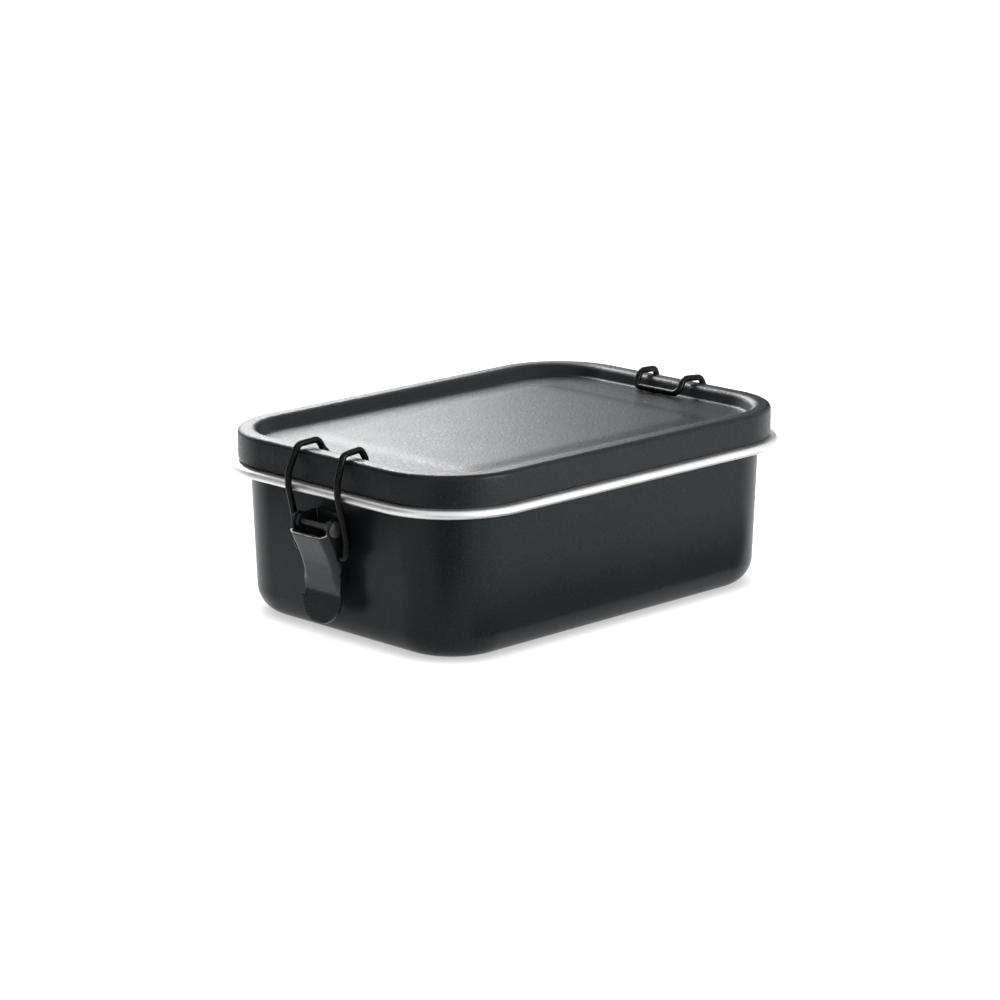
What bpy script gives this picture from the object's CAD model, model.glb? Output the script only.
# %% [markdown]
# # A metal lunch box
# The box is a drawn steel tub with a rolled rim, a pressed lid with a sunken top, and a wire-bail
# latch at each end. Its construction comes in as a fixed frame, at its real size and in metres.
# This script dresses that frame: each pressed piece is modelled again with soft folds and real
# sheet thickness, and gets a finish of its own.

# %% Load the frame
import math

import bmesh
import bpy
from mathutils import Matrix, Vector


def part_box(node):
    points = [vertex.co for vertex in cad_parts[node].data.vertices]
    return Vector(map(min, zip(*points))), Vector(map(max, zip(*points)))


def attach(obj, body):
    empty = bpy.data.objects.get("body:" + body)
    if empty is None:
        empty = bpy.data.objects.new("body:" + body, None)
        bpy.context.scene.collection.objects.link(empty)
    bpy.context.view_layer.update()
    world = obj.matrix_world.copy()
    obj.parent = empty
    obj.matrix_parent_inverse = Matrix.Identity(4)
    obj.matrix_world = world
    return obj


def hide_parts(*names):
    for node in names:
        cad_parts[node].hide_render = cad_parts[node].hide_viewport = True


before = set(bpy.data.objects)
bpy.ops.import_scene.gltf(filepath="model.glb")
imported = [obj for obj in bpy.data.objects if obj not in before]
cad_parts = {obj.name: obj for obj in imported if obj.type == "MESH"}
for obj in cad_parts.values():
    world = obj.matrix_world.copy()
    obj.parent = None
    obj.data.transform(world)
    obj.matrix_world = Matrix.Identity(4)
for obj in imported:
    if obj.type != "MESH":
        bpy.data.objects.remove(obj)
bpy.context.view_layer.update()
MM = 0.001

# %% [markdown]
# ## The camera
# A product camera with a long lens, a little above the box, looks at the corner between the latch
# end and a long side. A long lens keeps the box's edges almost parallel. The camera comes first,
# because every later choice of size and detail is judged through it.

# %% Camera
CAMERA_AZIMUTH = math.radians(-44.523)
CAMERA_ELEVATION = math.radians(13.963)
CAMERA_ROLL = math.radians(-0.139)
CAMERA_TARGET = Vector((-16.04, -12.45, 37.05)) * MM
CAMERA_DISTANCE = 1127.6 * MM
LENS = 124.27
SENSOR = 36.0


def camera_axes(azimuth, elevation, roll):
    """The camera's right, up and backward directions."""
    back = Vector((
        math.sin(azimuth) * math.cos(elevation),
        -math.cos(azimuth) * math.cos(elevation),
        math.sin(elevation),
    ))
    level = Vector((0, 0, 1)).cross(back).normalized()
    upright = back.cross(level)
    right = math.cos(roll) * level + math.sin(roll) * upright
    return right, back.cross(right), back


def make_camera():
    """The camera, turned so that it looks at its target along its backward direction."""
    data = bpy.data.cameras.new("camera")
    data.lens = LENS
    data.sensor_width = SENSOR
    data.clip_start = 0.05
    data.clip_end = 20
    camera = bpy.data.objects.new("camera", data)
    bpy.context.scene.collection.objects.link(camera)
    right, up, back = camera_axes(CAMERA_AZIMUTH, CAMERA_ELEVATION, CAMERA_ROLL)
    turn = Matrix((right, up, back)).transposed().to_4x4()
    camera.matrix_world = Matrix.Translation(CAMERA_TARGET + back * CAMERA_DISTANCE) @ turn
    bpy.context.scene.camera = camera
    return camera


camera = make_camera()
print("camera at", [round(c, 3) for c in camera.location])

# %% [markdown]
# ## Outlines with rounded corners
# Pressed sheet is a line with a thickness: all of its character is in how the corners are rounded.
# One helper rounds the corners of a path with arcs, and every section and blank below uses it.


# %% Rounded paths
ARC_STEP = math.radians(7)


def arc(centre, radius, start, end):
    """Points along an arc, both ends included."""
    count = max(2, math.ceil(abs(end - start) / ARC_STEP))
    angles = [start + (end - start) * i / count for i in range(count + 1)]
    return [centre + radius * Vector((math.cos(a), math.sin(a))) for a in angles]


def rounded_corner(before, corner, after, radius):
    """The arc that replaces a corner, or the corner itself where the radius is nothing."""
    if radius <= 0:
        return [corner]
    to_before = (before - corner).normalized()
    to_after = (after - corner).normalized()
    half = to_before.angle(to_after) / 2
    centre = corner + (to_before + to_after).normalized() * radius / math.sin(half)
    first = corner + to_before * radius / math.tan(half) - centre
    last = corner + to_after * radius / math.tan(half) - centre
    start = math.atan2(first.y, first.x)
    turn = math.atan2(first.x * last.y - first.y * last.x, first.dot(last))
    return arc(centre, radius, start, start + turn)


def rounded_path(corners, closed=False):
    """Points along a path of corners (x, y, radius). An open path's two ends stay sharp."""
    points = [Vector(c[:2]) for c in corners]
    count = len(points)
    path = []
    for i, corner in enumerate(corners):
        at_end = not closed and i in (0, count - 1)
        radius = 0 if at_end else corner[2]
        path += rounded_corner(points[i - 1], points[i], points[(i + 1) % count], radius)
    return path


# %% [markdown]
# ## Sweeping a section round the box
# Tub, lid and seal are all the same idea: one section, carried round a rectangle with round
# corners. On the bench that would be a follow-me tool. Here the section is spun through a quarter
# turn at a corner, then its last edges are extruded along the side, four times over. Spinning keeps
# the corners truly round and puts faces only where they are needed.

# %% Sweep
low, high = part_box("tub")
BOX_LENGTH = (high.x - low.x) / MM
BOX_WIDTH = (high.y - low.y) / MM
TUB_HEIGHT = high.z / MM
LID_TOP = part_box("lid")[1].z / MM
RIM_CORNER = 30.0
CORNER_X = BOX_LENGTH / 2 - RIM_CORNER
CORNER_Y = BOX_WIDTH / 2 - RIM_CORNER
CORNER_STEPS = 30
SAME_PLACE = 0.001


def chain(bm, points):
    """Vertices joined by edges, in the plane y = 0."""
    verts = [bm.verts.new((p.x, 0, p.y)) for p in points]
    edges = [bm.edges.new(pair) for pair in zip(verts, verts[1:])]
    return verts, edges


def sweep_round(bm, section, x, y):
    """Sweeps a section, drawn as distance out from a corner's centre and height, round a box."""
    verts, edges = chain(bm, section)
    bmesh.ops.translate(bm, verts=verts, vec=(x, -y, 0))
    corners = [(x, y), (-x, y), (-x, -y), (x, -y)]
    last = (x, -y)
    for centre in corners:
        along = Vector((centre[0] - last[0], centre[1] - last[1], 0))
        made = bmesh.ops.extrude_edge_only(bm, edges=edges)["geom"]
        moved = [g for g in made if isinstance(g, bmesh.types.BMVert)]
        edges = [g for g in made if isinstance(g, bmesh.types.BMEdge)]
        bmesh.ops.translate(bm, verts=moved, vec=along)
        edges = [e for e in edges if all(v in set(moved) for v in e.verts)]
        spun = bmesh.ops.spin(
            bm, geom=moved + edges, cent=(*centre, 0), axis=(0, 0, 1), dvec=(0, 0, 0),
            angle=math.pi / 2, steps=CORNER_STEPS, use_merge=False, use_duplicate=False,
        )["geom_last"]
        edges = [g for g in spun if isinstance(g, bmesh.types.BMEdge)]
        last = centre
    bmesh.ops.remove_doubles(bm, verts=bm.verts[:], dist=SAME_PLACE)


def edges_near(bm, test):
    """Boundary edges whose two ends pass a test."""
    return [e for e in bm.edges if e.is_boundary and all(test(v.co) for v in e.verts)]


def fill_loops(bm):
    """Closes each open loop of edges with one flat face."""
    rim = [e for e in bm.edges if e.is_boundary]
    bmesh.ops.holes_fill(bm, edges=rim, sides=0)


def finish_mesh(bm, name):
    """Turns a shape drawn in millimetres into an object in metres, with its faces outwards."""
    bmesh.ops.scale(bm, vec=(MM, MM, MM), verts=bm.verts[:])
    bmesh.ops.recalc_face_normals(bm, faces=bm.faces[:])
    for face in bm.faces:
        face.smooth = True
    mesh = bpy.data.meshes.new(name)
    bm.to_mesh(mesh)
    bm.free()
    piece = bpy.data.objects.new(name, mesh)
    bpy.context.scene.collection.objects.link(piece)
    return piece


def even_shading(piece):
    """Lets the large faces set the shading, so that flats stay flat beside their round edges."""
    weighted = piece.modifiers.new("even_shading", "WEIGHTED_NORMAL")
    weighted.keep_sharp = False
    weighted.weight = 100


def thicken(piece, thickness, behind=True):
    """Gives a skin the thickness of its sheet, behind its faces or in front of them."""
    wall = piece.modifiers.new("sheet", "SOLIDIFY")
    wall.thickness = thickness * MM
    wall.offset = -1 if behind else 1
    wall.use_even_offset = True
    wall.use_rim = True


print(f"box {BOX_LENGTH:.1f} x {BOX_WIDTH:.1f} mm, flange at {TUB_HEIGHT:.1f}, lid top at {LID_TOP:.1f}")

# %% [markdown]
# ## The tub
# The tub is drawn from one steel sheet. Its wall leans in a little towards the base, turns out into
# a flat flange, and the edge is rolled under into the bright bead. It is painted outside only, so
# it is made as two closed pieces: the bare sheet, and a coat of paint a tenth of a millimetre thick.

# %% Tub sheet
SHEET = 0.6
BEAD = 2.9 / 2
WALL_TOP = RIM_CORNER - 6.5
WALL_BASE = WALL_TOP - 1.9
BASE_RADIUS = 9.0
FLANGE_RADIUS = 1.2
BASE_RISE = 0.8
RING_OUTER = WALL_BASE - BASE_RADIUS
RING_INNER = RING_OUTER - 4.5
FLANGE_UNDER = TUB_HEIGHT - SHEET
BEAD_CENTRE = Vector((RIM_CORNER - BEAD, TUB_HEIGHT - BEAD))
ROLL = math.radians(290)
COAT = 0.1
COAT_END = BEAD_CENTRE.x - 0.6


def tub_skin(end):
    """The outside of the tub from its raised middle to the flange, ending at a distance out."""
    return rounded_path([
        (RING_INNER - 5, BASE_RISE, 0),
        (RING_INNER - 2 * BASE_RISE, BASE_RISE, 1),
        (RING_INNER, 0, 1),
        (WALL_BASE, 0, BASE_RADIUS),
        (WALL_TOP, FLANGE_UNDER, FLANGE_RADIUS),
        (end, FLANGE_UNDER, 0),
    ])


def make_tub_skin(name, section):
    """A section swept round the box, with its open middle closed by the flat base."""
    bm = bmesh.new()
    sweep_round(bm, section, CORNER_X, CORNER_Y)
    base_loop = edges_near(bm, lambda c: c.z < BASE_RISE + 1)
    bmesh.ops.contextual_create(bm, geom=base_loop)
    return finish_mesh(bm, name)


def faces_up_inside(piece):
    """Whether the middle of the piece faces up."""
    middle = min(piece.data.polygons, key=lambda f: f.center.length)
    return middle.normal.z > 0


rolled = arc(BEAD_CENTRE, BEAD - SHEET, math.pi / 2, math.pi / 2 - ROLL)
tub = make_tub_skin("tub_sheet", tub_skin(BEAD_CENTRE.x) + rolled[1:])
thicken(tub, SHEET, behind=not faces_up_inside(tub))
even_shading(tub)
tub_coat = make_tub_skin("tub_coat", tub_skin(COAT_END))
thicken(tub_coat, COAT, behind=faces_up_inside(tub_coat))
even_shading(tub_coat)
print("tub faces:", len(tub.data.polygons), "coat faces:", len(tub_coat.data.polygons))

# %% [markdown]
# ## The lid
# The lid's border is a round ridge that stiffens it and holds the seal underneath. Inside the ridge
# the top is sunken, so that boxes stack, and in its middle stands a low raised panel. The ridge is a
# sweep, the panel's slope is a second sweep with its own corners, and a flat ring of faces joins them.

# %% Lid sheet
LID_SHEET = 0.6
SKIRT = RIM_CORNER - 2.4
SKIRT_BOTTOM = TUB_HEIGHT + 0.9
SUNKEN = LID_TOP - 4.2
CREST = SKIRT - 6.9 + 1.05
FOOT = CREST - 2.1
SKIRT_RADIUS = 1.5
CREST_RADIUS = 2.8
FOOT_RADIUS = 1.4
PANEL_LENGTH = 114.0
PANEL_WIDTH = 79.0
PANEL_CORNER = 9.0
PANEL_RISE = 0.5
PANEL_SLOPE = 5.0
PANEL_X = PANEL_LENGTH / 2 - PANEL_CORNER
PANEL_Y = PANEL_WIDTH / 2 - PANEL_CORNER


def lid_skin():
    """The lid's outside from the foot of the slope to the bottom of the skirt."""
    return rounded_path([
        (FOOT - 4, SUNKEN, 0),
        (FOOT, SUNKEN, FOOT_RADIUS),
        (CREST, LID_TOP, CREST_RADIUS),
        (SKIRT, LID_TOP, SKIRT_RADIUS),
        (SKIRT, SKIRT_BOTTOM, 0),
    ])


def panel_skin():
    """The slope round the raised panel, from its top to the sunken floor."""
    inner = PANEL_CORNER - PANEL_SLOPE
    return rounded_path([
        (0.4, SUNKEN + PANEL_RISE, 0),
        (inner, SUNKEN + PANEL_RISE, 36),
        (PANEL_CORNER, SUNKEN, 24),
        (PANEL_CORNER + 2, SUNKEN, 0),
    ])


def in_panel(place):
    """Whether a place on the sunken floor is on the panel's side of it."""
    return abs(place.x) < PANEL_LENGTH / 2 + 3 and abs(place.y) < PANEL_WIDTH / 2 + 3


def join_rings(bm, edges):
    """Joins two level loops, one inside the other, point by point round the middle."""
    verts = {v for e in edges for v in e.verts}
    inner = [v for v in verts if in_panel(v.co)]
    outer = [v for v in verts if not in_panel(v.co)]
    for ring in (inner, outer):
        ring.sort(key=lambda v: math.atan2(v.co.y, v.co.x))
    for i in range(len(inner)):
        bm.faces.new((inner[i - 1], inner[i], outer[i], outer[i - 1]))


def make_lid(name):
    """The lid's outside: the raised panel, the ridge and skirt round it, and the floor between."""
    bm = bmesh.new()
    sweep_round(bm, panel_skin(), PANEL_X, PANEL_Y)
    top_loop = edges_near(bm, lambda c: c.z > SUNKEN + PANEL_RISE - 0.01)
    bmesh.ops.contextual_create(bm, geom=top_loop)
    sweep_round(bm, lid_skin(), CORNER_X, CORNER_Y)
    join_rings(bm, edges_near(bm, lambda c: abs(c.z - SUNKEN) < 0.01))
    return finish_mesh(bm, name)


lid = make_lid("lid_sheet")
thicken(lid, LID_SHEET)
even_shading(lid)
print("lid faces:", len(lid.data.polygons))

# %% [markdown]
# ## The seal
# A soft silicone ring fills the ridge from below. Its lip bears on the flange when the box is shut,
# and only a dark line of it shows under the skirt. It is one closed section, swept like the rest.

# %% Seal
SEAL_CLEARANCE = 0.1
SEAL_OUTER = SKIRT - LID_SHEET - SEAL_CLEARANCE
SEAL_TOP = LID_TOP - LID_SHEET - SEAL_CLEARANCE
SEAL_BULB = 3.2
SEAL_BULB_BOTTOM = SEAL_TOP - 3.6
SEAL_LIP = 1.8
LIP_OUT = SEAL_OUTER - 0.3


def make_seal():
    """A closed ring: a bulb that fills the ridge, and a narrower lip down to the flange."""
    section = rounded_path([
        (SEAL_OUTER, SEAL_BULB_BOTTOM, 0.5),
        (SEAL_OUTER, SEAL_TOP, 0.9),
        (SEAL_OUTER - SEAL_BULB, SEAL_TOP, 0.5),
        (SEAL_OUTER - SEAL_BULB, SEAL_BULB_BOTTOM, 0.5),
        (LIP_OUT - SEAL_LIP, SEAL_BULB_BOTTOM - 1, 0.5),
        (LIP_OUT - SEAL_LIP, TUB_HEIGHT + SEAL_CLEARANCE, 0.5),
        (LIP_OUT, TUB_HEIGHT + SEAL_CLEARANCE, 0.5),
        (LIP_OUT, SEAL_BULB_BOTTOM - 0.4, 0.2),
    ], closed=True)
    bm = bmesh.new()
    sweep_round(bm, section + section[:1], CORNER_X, CORNER_Y)
    return finish_mesh(bm, "seal_ring")


seal = make_seal()
even_shading(seal)
print("seal faces:", len(seal.data.polygons))

# %% [markdown]
# ## Folded sheet for the latch
# A lever or bracket starts as a flat blank, is punched, and is then folded. The same order works
# here: fill the blank's outline, cut it by planes along the fold lines so that it can bend, and then
# move each point round the folds. Solidify then gives the sheet its thickness.

# %% Blank and fold
PIVOT = Vector((BOX_LENGTH / 2, TUB_HEIGHT - 11.8))
BAIL_PIVOT = PIVOT - Vector((2.0, 9.5))
PIN_RADIUS = 1.0
HOLE_CLEARANCE = 0.06
WIRE_RADIUS = 1.1
CLOSEST_POINTS = 0.08
CUT_SNAP = 0.06


def blank(outline, holes):
    """A flat sheet in the xy plane with round holes, as (x, y, radius)."""
    bm = bmesh.new()
    loops = [outline]
    for x, y, radius in holes:
        loops.append(arc(Vector((x, y)), radius, 0, math.tau)[:-1])
    edges = []
    for loop in loops:
        spread = [p for i, p in enumerate(loop) if (p - loop[i - 1]).length > CLOSEST_POINTS]
        verts = [bm.verts.new((p.x, p.y, 0)) for p in spread]
        edges += [bm.edges.new((verts[i - 1], verts[i])) for i in range(len(verts))]
    bmesh.ops.triangle_fill(bm, use_beauty=True, edges=edges, normal=(0, 0, 1))
    return bm


def score(bm, places, axis):
    """Cuts the blank along lines at these places, so that it can bend there."""
    normal = Vector((1, 0, 0)) if axis == 0 else Vector((0, 1, 0))
    for place in places:
        geom = bm.verts[:] + bm.edges[:] + bm.faces[:]
        spot = normal * place
        bmesh.ops.bisect_plane(bm, geom=geom, plane_co=spot, plane_no=normal, dist=CUT_SNAP)


def spaced(start, end, step):
    """Evenly spaced places from start to end, about one step apart."""
    count = max(1, round((end - start) / step))
    return [start + (end - start) * i / count for i in range(count + 1)]


def folded(reach, half, radius, amount):
    """Where a point of the blank ends up across the fold: (sideways, depth) from the face."""
    past = reach - (half - radius)
    if past <= 0:
        return reach, 0.0
    full = math.pi / 2 * amount
    bend = radius / max(amount, 1e-3)
    angle = min(past / bend, full)
    beyond = past - angle * bend
    side = half - radius + bend * math.sin(angle) + beyond * math.cos(angle)
    depth = bend * (1 - math.cos(angle)) + beyond * math.sin(angle)
    return side, depth


def unfolded(depth, half, radius):
    """The reach on the blank of a point at this depth on a square fold."""
    if depth >= radius:
        return half - radius + radius * math.pi / 2 + depth - radius
    return half - radius + radius * math.acos(1 - depth / radius)


print("pivot", tuple(round(c, 1) for c in PIVOT), "bail pivot", tuple(round(c, 1) for c in BAIL_PIVOT))

# %% [markdown]
# ## The lever
# The lever's face leans in from a wide, flat top edge, bows a little, and ends in a round finger tab
# that stands out again. Its two cheeks are folded back from the face with a wide radius. They carry
# the pivot pin at the top and the wire bail below, and the fold fades away towards the tab. The paint
# is rubbed off the cut edges: a strip of each is marked as worn, and the paint's material reads that.

# %% Lever
LEVER_SHEET = 1.0
LEVER_HALF = 8.7
LEVER_FOLD = 2.8
LEVER_FLAT = LEVER_HALF - LEVER_FOLD
CHEEK_RADIUS = 3.1
FACE_TOP = Vector((4.8, -2.8))
FACE_BEND = Vector((0.1, -12.2))
WAIST = Vector((-2.3, -22.2))
TAB_LENGTH = 9.7
TAB_HALF = 8.6
TAB_END = WAIST + Vector((0.27, -1)) * TAB_LENGTH
TOP_DOWN = (FACE_BEND - FACE_TOP).normalized()
ABOVE = 8.0
WORN_SHARE = 0.3
HEAVY_WEAR_DEPTH = 8
LIGHT_WEAR = 0.6
UPWARD = 0.6
FADE_START = 13.5
FADE_LENGTH = 7.0


def face_line():
    """The lever's face from the side, with its soft bends, as points and lengths along them."""
    path = rounded_path([
        (*(FACE_TOP - TOP_DOWN * ABOVE), 0), (*FACE_BEND, 30), (*WAIST, 3), (*TAB_END, 0),
    ])
    lengths = [-ABOVE]
    for before, after in zip(path, path[1:]):
        lengths.append(lengths[-1] + (after - before).length)
    return path, lengths


FACE_PATH, FACE_LENGTHS = face_line()


def along_face(distance):
    """The point and the inward normal at a distance down the lever's face."""
    i = 1
    while i < len(FACE_PATH) - 1 and FACE_LENGTHS[i] < distance:
        i += 1
    before, after = FACE_PATH[i - 1], FACE_PATH[i]
    step = (after - before).normalized()
    return before + step * (distance - FACE_LENGTHS[i - 1]), Vector((step.y, -step.x))


def on_blank(point):
    """A point of the cheek, from the side and from the pivot, as (reach, distance down)."""
    places = spaced(-ABOVE, FACE_LENGTHS[-1], 0.02)
    distance = min(places, key=lambda d: (along_face(d)[0] - Vector(point)).length)
    face, inward = along_face(distance)
    return unfolded((Vector(point) - face).dot(inward), LEVER_HALF, LEVER_FOLD), distance


def lever_outline():
    """Half of the blank, from the middle of the top edge round to the middle of the tab's end."""
    ear_root = on_blank((CHEEK_RADIUS, -2.0))[0]
    crease = on_blank(WAIST)[1]
    end = FACE_LENGTHS[-1]
    corners = [
        (0, 0, 0),
        (ear_root, 0, 0.7),
        (*on_blank((CHEEK_RADIUS, CHEEK_RADIUS)), 2.9),
        (*on_blank((-CHEEK_RADIUS, CHEEK_RADIUS)), 2.9),
        (*on_blank((-CHEEK_RADIUS, -3.5)), 2),
        (*on_blank((-4.4, -6.9)), 2.4),
        (*on_blank((-4.4, -12.0)), 2.4),
        (LEVER_HALF + 0.6, 12.8, 2.5),
        (LEVER_HALF - 0.2, crease - 2.6, 3),
        (LEVER_HALF - 0.5, crease + 0.4, 2),
        (TAB_HALF, crease + 2.6, 3),
        (TAB_HALF, end, 7.3),
        (0, end, 0),
    ]
    return rounded_path(corners)


def fold_amount(distance):
    """Full folds along the cheeks that fade out towards the crease."""
    fade = min(1, max(0, (distance - FADE_START) / FADE_LENGTH))
    return 1 - fade * fade * (3 - 2 * fade)


def make_lever(name, side):
    """The lever's outer skin, cut as a flat blank and folded round its cheeks and its bent face."""
    half = lever_outline()
    outline = half + [Vector((-p.x, p.y)) for p in reversed(half[1:-1])]
    pin = on_blank((0, 0))
    wire = on_blank(BAIL_PIVOT - PIVOT)
    holes = [(s * pin[0], pin[1], PIN_RADIUS + HOLE_CLEARANCE) for s in (-1, 1)]
    holes += [(s * wire[0], wire[1], WIRE_RADIUS + HOLE_CLEARANCE) for s in (-1, 1)]
    bm = blank(outline, holes)
    folds = spaced(LEVER_FLAT, LEVER_FLAT + LEVER_FOLD * math.pi / 2, 0.4)
    score(bm, [s * f for s in (-1, 1) for f in folds], 0)
    score(bm, [0] + [s * f for s in (-1, 1) for f in (2, 4)], 0)
    score(bm, spaced(1, FACE_LENGTHS[-1] - 0.5, 0.8), 1)
    for v in bm.verts:
        reach, depth = folded(abs(v.co.x), LEVER_HALF, LEVER_FOLD, fold_amount(v.co.y))
        point, inward = along_face(v.co.y)
        place = PIVOT + point + inward * depth
        v.co = Vector((side * place.x, math.copysign(reach, v.co.x), place.y))
    return finish_mesh(bm, name)


def faces_out(piece, side):
    """Whether most of a folded skin looks away from the box."""
    return sum(f.area * f.normal.x * side for f in piece.data.polygons) > 0


def solid_sheet(piece):
    """The sheet with its thickness made real, and its cut edges numbered as material 1."""
    for _ in range(2):
        piece.data.materials.append(None)
    piece.modifiers["sheet"].material_offset_rim = 1
    graph = bpy.context.evaluated_depsgraph_get()
    sheet = bpy.data.meshes.new_from_object(piece.evaluated_get(graph))
    piece.data.materials.clear()
    piece.modifiers.clear()
    return sheet


def mark_worn(piece):
    """Marks a strip of each cut edge beside the face as worn, and all of the upper edge."""
    skin = len(piece.data.vertices)
    bm = bmesh.new()
    bm.from_mesh(solid_sheet(piece))
    cut = {f for f in bm.faces if f.material_index == 1}
    across = [e for e in bm.edges if all(f in cut for f in e.link_faces)]
    share = {e: WORN_SHARE if e.verts[0].index < skin else 1 - WORN_SHARE for e in across}
    outer = {v for v in bm.verts if v.index < skin}
    bmesh.ops.subdivide_edges(bm, edges=across, cuts=1, edge_percents=share)
    marks = bm.faces.layers.float.new("worn")
    for face in bm.faces:
        middle = face.calc_center_median()
        top = face.normal.z > UPWARD and middle.z < PIVOT.y * MM
        rubbed = top or any(v in outer for v in face.verts)
        if face.material_index == 1 and rubbed:
            face[marks] = 1.0 if middle.z > (PIVOT.y - HEAVY_WEAR_DEPTH) * MM else LIGHT_WEAR
        face.material_index = 0
    bm.to_mesh(piece.data)
    bm.free()


levers = {}
for end, side in (("left", -1), ("right", 1)):
    levers[end] = make_lever(f"{end}_lever_sheet", side)
    thicken(levers[end], LEVER_SHEET, behind=faces_out(levers[end], side))
    mark_worn(levers[end])
    even_shading(levers[end])
print("lever faces:", len(levers["left"].data.polygons))

# %% [markdown]
# ## The bracket and its pin
# The bracket is a small channel whose foot is spot-welded flat on the wall. The lever's cheeks close
# round its two ears, and one pin goes through all four. The pin has a round head on one side, and is
# peened over on the other.

# %% Bracket and pin
BRACKET_SHEET = 1.0
EAR_CLEARANCE = 0.4
EAR_OUTER = LEVER_HALF - LEVER_SHEET - EAR_CLEARANCE
EAR_RADIUS = 2.4
FOOT_TOP = PIVOT.y + 3.2
FOOT_BOTTOM = FOOT_TOP - 10.5
EAR_FOLD = 1.4
PIN_HEAD = 5.4 / 2
PIN_HEAD_THICKNESS = 0.9
PEEN = 3.4 / 2
PEEN_HEIGHT = 0.6
PIN_GAP = 0.1
PIN_EDGE = 0.1


def wall_x(z):
    """How far out the end wall stands at a height."""
    return CORNER_X + WALL_BASE + (WALL_TOP - WALL_BASE) * z / FLANGE_UNDER


def make_bracket(name, side):
    """The bracket's inner skin: a foot that lies on the wall, and an ear folded out at each side."""
    foot = wall_x((FOOT_TOP + FOOT_BOTTOM) / 2)
    reach = unfolded(PIVOT.x - foot, EAR_OUTER, EAR_FOLD)
    root = unfolded(1.6, EAR_OUTER, EAR_FOLD)
    half = rounded_path([
        (0, FOOT_TOP, 0), (root, FOOT_TOP, 1),
        (reach + EAR_RADIUS, PIVOT.y + EAR_RADIUS, EAR_RADIUS * 0.95),
        (reach + EAR_RADIUS, PIVOT.y - EAR_RADIUS, EAR_RADIUS * 0.95),
        (reach - 1, PIVOT.y - EAR_RADIUS, 2),
        (root, FOOT_BOTTOM, 1.2), (0, FOOT_BOTTOM, 0),
    ])
    outline = half + [Vector((-p.x, p.y)) for p in reversed(half[1:-1])]
    bm = blank(outline, [(s * reach, PIVOT.y, PIN_RADIUS + 0.03) for s in (-1, 1)])
    flat = EAR_OUTER - EAR_FOLD
    folds = spaced(flat, flat + EAR_FOLD * math.pi / 2, 0.37)
    score(bm, [0] + [s * f for s in (-1, 1) for f in folds], 0)
    for v in bm.verts:
        across, depth = folded(abs(v.co.x), EAR_OUTER, EAR_FOLD, 1)
        v.co = Vector((side * (wall_x(v.co.y) + depth), math.copysign(across, v.co.x), v.co.y))
    return finish_mesh(bm, name)


def make_pin(name, side):
    """A shaft with a domed head and a peened end, turned about its own line like any lathe work."""
    end = LEVER_HALF + PIN_GAP
    profile = [
        (0, -end - PEEN_HEIGHT), (PEEN * 0.55, -end - PEEN_HEIGHT),
        (PEEN * 0.9, -end - PEEN_HEIGHT * 0.5), (PEEN, -end), (PIN_RADIUS, -end), (PIN_RADIUS, end),
        (PIN_HEAD, end), (PIN_HEAD, end + PIN_HEAD_THICKNESS * 0.5),
        (PIN_HEAD * 0.93, end + PIN_HEAD_THICKNESS * 0.78),
        (PIN_HEAD * 0.75, end + PIN_HEAD_THICKNESS * 0.94),
        (PIN_HEAD * 0.4, end + PIN_HEAD_THICKNESS), (0, end + PIN_HEAD_THICKNESS),
    ]
    bm = bmesh.new()
    verts, edges = chain(bm, [Vector(p) for p in profile])
    bmesh.ops.spin(
        bm, geom=verts + edges, cent=(0, 0, 0), axis=(0, 0, 1), dvec=(0, 0, 0),
        angle=math.tau, steps=40, use_merge=True, use_duplicate=False,
    )
    bmesh.ops.remove_doubles(bm, verts=bm.verts[:], dist=SAME_PLACE)
    turn = Matrix.Rotation(-side * math.pi / 2, 3, "X")
    bmesh.ops.rotate(bm, cent=(0, 0, 0), matrix=turn, verts=bm.verts[:])
    bmesh.ops.translate(bm, verts=bm.verts[:], vec=(side * PIVOT.x, 0, PIVOT.y))
    return finish_mesh(bm, name)


brackets, pins = {}, {}
for end, side in (("left", -1), ("right", 1)):
    brackets[end] = make_bracket(f"{end}_bracket_sheet", side)
    thicken(brackets[end], BRACKET_SHEET, behind=not faces_out(brackets[end], side))
    even_shading(brackets[end])
    pins[end] = make_pin(f"{end}_pin", side)
    soft = pins[end].modifiers.new("soft_edge", "BEVEL")
    soft.width = PIN_EDGE * MM
    soft.segments = 2
    soft.limit_method = "ANGLE"
    soft.angle_limit = math.radians(50)
    even_shading(pins[end])
print("bracket faces:", len(brackets["left"].data.polygons))

# %% [markdown]
# ## The wire bail
# One length of spring wire is bent into the whole bail: a crossbar in the sunken top, a hump over
# the ridge on each side, two legs, and two ends turned in to hook into the lever's cheeks. A circle
# is pushed along the straight lengths by extruding and round the bends by spinning, as a wire
# bender would.

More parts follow.
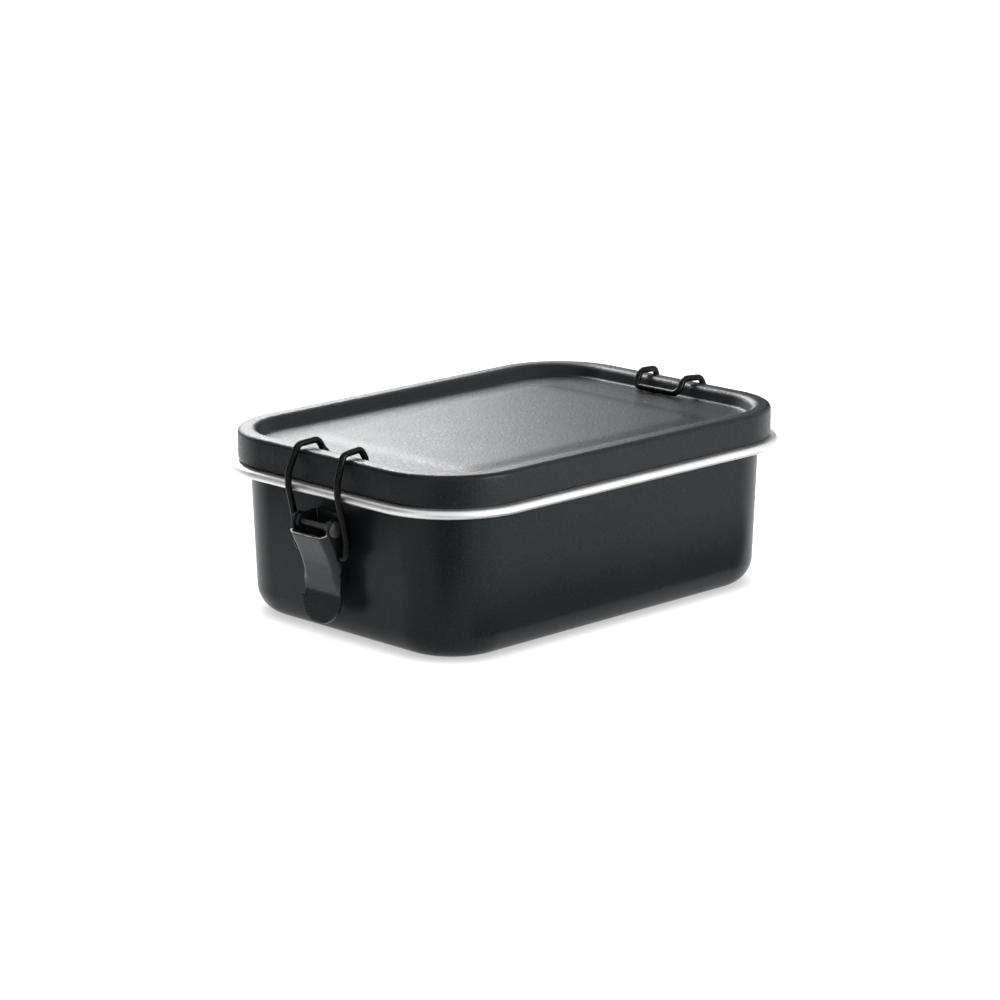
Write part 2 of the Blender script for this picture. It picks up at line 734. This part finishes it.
# %% Bail
LEG_Y = 23.3 / 2
HUMP_Y = 20 / 2
HUMP_Z = LID_TOP + 2.1
CROSSBAR = Vector((CORNER_X + FOOT - WIRE_RADIUS - 1.6, SUNKEN + WIRE_RADIUS + 0.2))
RIM_PASS = BOX_LENGTH / 2 + WIRE_RADIUS + 0.25
WIRE_END = LEVER_HALF - LEVER_SHEET - 0.8
HALF_BAIL = [
    ((CROSSBAR.x, 0, CROSSBAR.y), 0),
    ((CROSSBAR.x, HUMP_Y, CROSSBAR.y), 2.6),
    ((CORNER_X + CREST - 1.8, HUMP_Y + 0.1, HUMP_Z), 2.6),
    ((CORNER_X + SKIRT + 0.2, HUMP_Y + 0.7, HUMP_Z - 0.5), 2.6),
    ((RIM_PASS, LEG_Y - 0.15, SKIRT_BOTTOM + 2.5), 5),
    ((RIM_PASS, LEG_Y, TUB_HEIGHT - 0.8), 8),
    ((BAIL_PIVOT.x, LEG_Y, BAIL_PIVOT.y + 6), 10),
    ((BAIL_PIVOT.x, LEG_Y, BAIL_PIVOT.y), 1.8),
    ((BAIL_PIVOT.x, WIRE_END, BAIL_PIVOT.y), 0),
]
WIRE_SIDES = 24
BEND_STEP = math.radians(8)


def push_on(bm, edges):
    """Extrudes a loop of edges and returns the new loop's vertices and edges."""
    made = bmesh.ops.extrude_edge_only(bm, edges=edges)["geom"]
    verts = [g for g in made if isinstance(g, bmesh.types.BMVert)]
    fresh = set(verts)
    loop = [g for g in made if isinstance(g, bmesh.types.BMEdge) and set(g.verts) <= fresh]
    return verts, loop


def bend_wire(bm, corners):
    """A round wire through corners (point, bend radius), with both ends closed."""
    points = [Vector(c[0]) for c in corners]
    ways = [(b - a).normalized() for a, b in zip(points, points[1:])]
    ring = bmesh.ops.create_circle(bm, segments=WIRE_SIDES, radius=WIRE_RADIUS, cap_ends=False)["verts"]
    bmesh.ops.transform(bm, matrix=ways[0].to_track_quat("Z", "Y").to_matrix(), verts=ring)
    bmesh.ops.translate(bm, vec=points[0], verts=ring)
    edges = list({e for v in ring for e in v.link_edges})
    here = points[0]
    for i, way in enumerate(ways):
        bend = corners[i + 1][1]
        turn = way.angle(ways[i + 1]) if i + 1 < len(ways) else 0
        stop = points[i + 1] - way * bend * math.tan(turn / 2)
        verts, edges = push_on(bm, edges)
        bmesh.ops.translate(bm, verts=verts, vec=stop - here)
        here = stop
        if turn:
            axis = way.cross(ways[i + 1]).normalized()
            centre = here + axis.cross(way) * bend
            spun = bmesh.ops.spin(
                bm, geom=verts + edges, cent=centre, axis=axis, dvec=(0, 0, 0), angle=turn,
                steps=max(2, math.ceil(turn / BEND_STEP)), use_merge=False, use_duplicate=False,
            )["geom_last"]
            edges = [g for g in spun if isinstance(g, bmesh.types.BMEdge)]
            here = Matrix.Rotation(turn, 3, axis) @ (here - centre) + centre
    fill_loops(bm)


def make_bail(name, side):
    """The whole bail: its near half, and the far half as the mirror image."""
    near = [((side * p[0], p[1], p[2]), r) for p, r in HALF_BAIL]
    far = [((p[0], -p[1], p[2]), r) for p, r in reversed(near[1:])]
    bm = bmesh.new()
    bend_wire(bm, far + near[1:])
    return finish_mesh(bm, name)


bails = {}
for end, side in (("left", -1), ("right", 1)):
    bails[end] = make_bail(f"{end}_bail_wire", side)
print("bail faces:", len(bails["left"].data.polygons))

# %% [markdown]
# ## Which body each piece moves with
# Every piece rides on a body of the frame and stands for a node of it, so it follows the joints.

# %% Ride and replace
RIDES = [
    (tub, "tub_body", "bare_steel", ["tub"]),
    (tub_coat, "tub_body", "tub_paint", []),
    (lid, "lid_body", "lid_paint", ["lid"]),
    (seal, "lid_body", "silicone", ["lid_seal"]),
]
for end in ("left", "right"):
    RIDES += [
        (levers[end], f"{end}_lever_body", "latch_paint", [f"{end}_lever"]),
        (bails[end], f"{end}_bail_body", "wire_coat", [f"{end}_wire_bail"]),
        (brackets[end], "tub_body", "latch_paint", [f"{end}_bracket"]),
        (pins[end], "tub_body", "pin_steel", [f"{end}_pivot_pin"]),
    ]
for piece, body, slot, nodes in RIDES:
    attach(piece, body)
    if nodes:
        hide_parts(*nodes)
print("pieces:", len(RIDES))

# %% [markdown]
# ## Writing shader maths as Python
# A material is a sum of small decisions, and each is easier to read as an expression than as a web
# of nodes. This class wraps a socket, so that adding or multiplying two of them adds a Math node.


# %% Shader expressions
class Value:
    """A socket that can be added to and multiplied."""

    def __init__(self, shader, socket):
        self.shader = shader
        self.socket = socket

    def maths(self, operation, other):
        """A Math node between this and another value."""
        return self.shader.add("ShaderNodeMath", {"operation": operation}, {0: self, 1: other})

    def __add__(self, other):
        return self.maths("ADD", other)

    def __mul__(self, other):
        return self.maths("MULTIPLY", other)

    def clamped(self):
        """Kept between 0 and 1."""
        return self.shader.add("ShaderNodeClamp", {}, {0: self})


class Shader:
    """One material: a Principled surface, and a method that adds any other node."""

    def __init__(self, name):
        self.material = bpy.data.materials.new(name)
        self.material.use_nodes = True
        self.tree = self.material.node_tree
        self.surface = self.tree.nodes["Principled BSDF"]
        self.place = self.add("ShaderNodeTexCoord", {}, {}, "Object")

    def add(self, kind, settings, inputs, output=0):
        """Adds a node, sets it up, feeds its inputs and returns one of its outputs."""
        node = self.tree.nodes.new(kind)
        for key, value in settings.items():
            setattr(node, key, value)
        for key, value in inputs.items():
            self.feed(node.inputs[key], value)
        return Value(self, node.outputs[output])

    def feed(self, socket, value):
        """Links a value to a socket, or sets the socket to a plain number or colour."""
        if isinstance(value, Value):
            self.tree.links.new(value.socket, socket)
        else:
            socket.default_value = value

    def set(self, **inputs):
        """Feeds inputs of the Principled surface by name."""
        for key, value in inputs.items():
            self.feed(self.surface.inputs[key.replace("_", " ")], value)

    def noise(self, size, detail=3.0, roughness=0.55, stretch=(1, 1, 1)):
        """Noise whose features are about this many millimetres across."""
        scaled = self.add("ShaderNodeMapping", {}, {"Vector": self.place, "Scale": stretch})
        return self.add("ShaderNodeTexNoise", {}, {
            "Vector": scaled, "Scale": 1 / (size * MM), "Detail": detail, "Roughness": roughness,
        })

    def between(self, value, low, high):
        """0 below low, 1 above high, and smooth between them."""
        return self.add("ShaderNodeMapRange", {"interpolation_type": "SMOOTHSTEP"}, {
            "Value": value, "From Min": low, "From Max": high,
        })

    def mix(self, amount, first, second):
        """A colour from the first to the second."""
        node = self.tree.nodes.new("ShaderNodeMix")
        node.data_type = "RGBA"
        for index, value in ((0, amount), (6, first), (7, second)):
            self.feed(node.inputs[index], value)
        return Value(self, node.outputs[2])

    def bump(self, height, strength, distance):
        """A relief of this height, whose full depth is a distance in millimetres."""
        return self.add("ShaderNodeBump", {}, {
            "Height": height, "Strength": strength, "Distance": distance * MM,
        })


# %% [markdown]
# ## Finishes
# The paint is a satin black powder coat. Close up it is a fine orange peel of soft bumps, half a
# millimetre across on the tub and nearly a millimetre on the lid, with slightly paler specks. Where
# the lever's cut edges are marked as worn, the metal shows through in patches. The bare steel is
# rolled sheet with faint hairlines, and the wire has a thin, slightly uneven black coat.

# %% Materials
RUBBED_METAL = (0.72, 0.72, 0.7, 1)
PAINT_TINT = (0.91, 0.97, 1, 1)


def powder_coat(name, tone, grain, roughness, sparkle, shine, relief, worn=False):
    """Satin powder coat: fine bumps, broad mottling of the gloss, pale specks and worn edges."""
    s = Shader(name)
    fine = s.noise(grain, 4, 0.65)
    broad = s.noise(14, 2, 0.5)
    dark = tuple(c * 0.85 for c in tone) + (1,)
    middle = tuple(c * 1.2 for c in tone) + (1,)
    pale = tuple(c + sparkle for c in tone) + (1,)
    paint = s.mix(s.between(fine, 0.5, 0.66), s.mix(broad, dark, middle), pale)
    uneven = relief * 0.4
    gloss = (fine * uneven + broad * 0.06 + (roughness - 0.03 - uneven / 2)).clamped()
    s.surface.inputs["Specular IOR Level"].default_value = shine
    s.surface.inputs["Specular Tint"].default_value = PAINT_TINT
    if worn:
        edge = s.add("ShaderNodeAttribute", {"attribute_name": "worn"}, {}, "Fac")
        rubbed = s.between(s.noise(2, 3, 0.6) + edge * 0.5, 0.8, 0.95) * edge
        paint = s.mix(rubbed, paint, RUBBED_METAL)
        s.set(Metallic=rubbed)
    s.set(Base_Color=paint, Roughness=gloss, Normal=s.bump(fine, relief, 0.1))
    return s.material


def bare_steel(name):
    """Rolled stainless sheet with fine hairlines."""
    s = Shader(name)
    hair = s.noise(0.25, 2, 0.6, (0.04, 1, 1))
    cloud = s.noise(9, 2, 0.5)
    s.surface.inputs["Metallic"].default_value = 1.0
    s.set(
        Base_Color=s.mix(cloud, (0.73, 0.74, 0.74, 1), (0.82, 0.82, 0.81, 1)),
        Roughness=(hair * 0.14 + cloud * 0.08 + 0.36).clamped(),
        Normal=s.bump(hair, 0.12, 0.02),
    )
    return s.material


def coated_wire(name):
    """Black coat on spring wire, slightly uneven along its length."""
    s = Shader(name)
    uneven = s.noise(1.2, 3, 0.55)
    s.surface.inputs["Specular IOR Level"].default_value = 0.12
    s.set(
        Base_Color=s.mix(uneven, (0.003, 0.0032, 0.0035, 1), (0.008, 0.0085, 0.009, 1)),
        Roughness=(uneven * 0.16 + 0.2).clamped(),
        Normal=s.bump(uneven, 0.3, 0.05),
    )
    return s.material


def silicone(name):
    """Soft black rubber with a faintly uneven skin."""
    s = Shader(name)
    skin = s.noise(0.8, 2, 0.5)
    s.set(
        Base_Color=s.mix(skin, (0.012, 0.012, 0.013, 1), (0.02, 0.02, 0.021, 1)),
        Roughness=(skin * 0.1 + 0.5).clamped(),
        Normal=s.bump(skin, 0.2, 0.03),
    )
    return s.material


tub_paint = powder_coat("tub_paint", (0.010, 0.0135, 0.016), 0.45, 0.3, 0.012, 0.15, 0.22)
lid_paint = powder_coat("lid_paint", (0.009, 0.0125, 0.0145), 0.9, 0.36, 0.006, 0.2, 1.3)
latch_paint = powder_coat("latch_paint", (0.011, 0.0135, 0.015), 0.5, 0.28, 0.006, 0.3, 0.12, True)
pin_paint = powder_coat("pin_paint", (0.06, 0.057, 0.057), 0.5, 0.36, 0.02, 0.45, 0.2)
steel = bare_steel("bare_steel")
wire_coat = coated_wire("wire_coat")
seal_silicone = silicone("black_silicone")
FINISHES = [(tub, steel), (tub_coat, tub_paint), (lid, lid_paint), (seal, seal_silicone)]
for end in ("left", "right"):
    FINISHES += [
        (levers[end], latch_paint), (bails[end], wire_coat),
        (brackets[end], latch_paint), (pins[end], pin_paint),
    ]
for piece, material in FINISHES:
    piece.data.materials.append(material)
print("materials:", len({m.name for _, m in FINISHES}))

# %% [markdown]
# ## The studio
# The floor and the backdrop are plain white. What looks straight at them, or at their reflection,
# sees white. The floor also takes a little of the light that falls on it, and turns grey where the
# box stands close over it, so it keeps the box's shade. Three soft lamps behind the box shape the lid
# and the end, and a low one at the side shapes the long wall. Black cards, seen only in the paint,
# darken what it would otherwise mirror.

# %% Studio
WORLD_STRENGTH = 0.3
PAPER_WHITE = 0.92
PAPER_SHADE = 0.5
CONTACT_REACH = 5
CONTACT_GREY = 0.5
FLOOR_SIZE = 12
FLOOR_GAP = 0.05
BOX_MIDDLE = (0, 0, 0.04)


def seen_directly(tree):
    """1 for rays from the camera and for those mirrored or let through, and 0 for the rest."""
    light_path = tree.nodes.new("ShaderNodeLightPath")
    seen = light_path.outputs["Is Camera Ray"]
    for kind in ("Is Glossy Ray", "Is Transmission Ray"):
        either = tree.nodes.new("ShaderNodeMath")
        either.operation = "MAXIMUM"
        tree.links.new(seen, either.inputs[0])
        tree.links.new(light_path.outputs[kind], either.inputs[1])
        seen = either.outputs[0]
    return seen


def make_world():
    """A world that looks white, and lights the box with a share of that."""
    world = bpy.data.worlds.new("studio")
    bpy.context.scene.world = world
    world.use_nodes = True
    tree = world.node_tree
    background = tree.nodes["Background"]
    background.inputs["Color"].default_value = (1, 1, 1, 1)
    strength = tree.nodes.new("ShaderNodeMapRange")
    strength.inputs["To Min"].default_value = WORLD_STRENGTH
    strength.inputs["To Max"].default_value = 1.0
    tree.links.new(seen_directly(tree), strength.inputs["Value"])
    tree.links.new(strength.outputs[0], background.inputs["Strength"])


def white_paper():
    """White paper that looks white however it is lit, apart from a share of shade."""
    material = bpy.data.materials.new("white_paper")
    material.use_nodes = True
    tree = material.node_tree
    paper = tree.nodes["Principled BSDF"]
    paper.inputs["Base Color"].default_value = (0.9, 0.9, 0.9, 1)
    paper.inputs["Roughness"].default_value = 0.9
    shaded = tree.nodes.new("ShaderNodeBsdfDiffuse")
    shaded.inputs["Color"].default_value = (PAPER_SHADE, PAPER_SHADE, PAPER_SHADE, 1)
    white = tree.nodes.new("ShaderNodeEmission")
    white.inputs["Strength"].default_value = PAPER_WHITE
    both = tree.nodes.new("ShaderNodeAddShader")
    tree.links.new(white.outputs[0], both.inputs[0])
    tree.links.new(shaded.outputs[0], both.inputs[1])
    open_sky = tree.nodes.new("ShaderNodeAmbientOcclusion")
    open_sky.inputs["Distance"].default_value = CONTACT_REACH * MM
    open_sky.samples = 4
    grey = tree.nodes.new("ShaderNodeEmission")
    grey.inputs["Strength"].default_value = CONTACT_GREY
    contact = tree.nodes.new("ShaderNodeMixShader")
    tree.links.new(open_sky.outputs["AO"], contact.inputs[0])
    tree.links.new(grey.outputs[0], contact.inputs[1])
    tree.links.new(both.outputs[0], contact.inputs[2])
    mix = tree.nodes.new("ShaderNodeMixShader")
    tree.links.new(seen_directly(tree), mix.inputs[0])
    tree.links.new(paper.outputs[0], mix.inputs[1])
    tree.links.new(contact.outputs[0], mix.inputs[2])
    tree.links.new(mix.outputs[0], tree.nodes["Material Output"].inputs["Surface"])
    return material


def flat_sheet(name, width, height, placing, material):
    """A flat rectangle of the studio."""
    bm = bmesh.new()
    bmesh.ops.create_grid(bm, x_segments=1, y_segments=1, size=0.5)
    bmesh.ops.scale(bm, vec=(width, height, 1), verts=bm.verts[:])
    bmesh.ops.transform(bm, matrix=placing, verts=bm.verts[:])
    mesh = bpy.data.meshes.new(name)
    bm.to_mesh(mesh)
    bm.free()
    mesh.materials.append(material)
    sheet = bpy.data.objects.new(name, mesh)
    bpy.context.scene.collection.objects.link(sheet)
    return sheet


def facing(place, aim):
    """The turn that points a lamp or a card from its place at its aim."""
    return (Vector(aim) - Vector(place)).to_track_quat("-Z", "Y")


def soft_lamp(name, place, aim, width, height, power):
    """A rectangular lamp of this size in metres and power in watts."""
    data = bpy.data.lights.new(name, "AREA")
    data.shape = "RECTANGLE"
    data.size = width
    data.size_y = height
    data.energy = power
    lamp = bpy.data.objects.new(name, data)
    bpy.context.scene.collection.objects.link(lamp)
    lamp.location = place
    lamp.rotation_euler = facing(place, aim).to_euler()


def dark_card(name, place, aim, width, height):
    """A black card that is seen only in the box's reflections."""
    placing = Matrix.Translation(place) @ facing(place, aim).to_matrix().to_4x4()
    card = flat_sheet(name, width, height, placing, black_felt)
    card.visible_camera = False
    card.visible_diffuse = False
    card.visible_shadow = False


def floor_card(name, x, y, width, height):
    """A black card that lies just above the floor and looks up."""
    dark_card(name, (x, y, 0.001), (x, y, 1), width, height)


felt = Shader("black_felt")
felt.surface.inputs["Base Color"].default_value = (0.005, 0.005, 0.005, 1)
felt.surface.inputs["Roughness"].default_value = 1.0
black_felt = felt.material
make_world()
flat_sheet("floor", FLOOR_SIZE, FLOOR_SIZE, Matrix.Translation((0, 0, -FLOOR_GAP * MM)), white_paper())
soft_lamp("back_softbox", (0.355, 1.32, 0.65), BOX_MIDDLE, 0.45, 0.45, 6.4)
soft_lamp("high_softbox", (0.20, 0.43, 0.44), BOX_MIDDLE, 0.2, 0.18, 2.8)
soft_lamp("low_softbox", (0.31, 0.47, 0.26), BOX_MIDDLE, 0.2, 0.17, 0.65)
soft_lamp("right_softbox", (0.105, -0.60, 0.16), BOX_MIDDLE, 0.17, 0.24, 2.3)
dark_card("back_flag", (0.785, 0.383, 0.258), (0, 0, 0.06), 0.4, 0.5)
dark_card("left_flag", (-0.6, 0.4, 0.35), BOX_MIDDLE, 0.7, 0.6)
floor_card("long_floor_card", 0.03, -0.078, 0.2, 0.03)
floor_card("corner_floor_card", -0.19, -0.15, 0.16, 0.16)
floor_card("end_floor_card", -0.26, 0.16, 0.2, 0.2)
bpy.context.scene.view_settings.view_transform = "Standard"
print("lamps:", ", ".join(lamp.name for lamp in bpy.data.lights))

# %% [markdown]
# ## Sizes, and the end
# The dressed box has to stay the size of its construction, so both boxes are written down.

# %% Finish
bpy.context.view_layer.update()
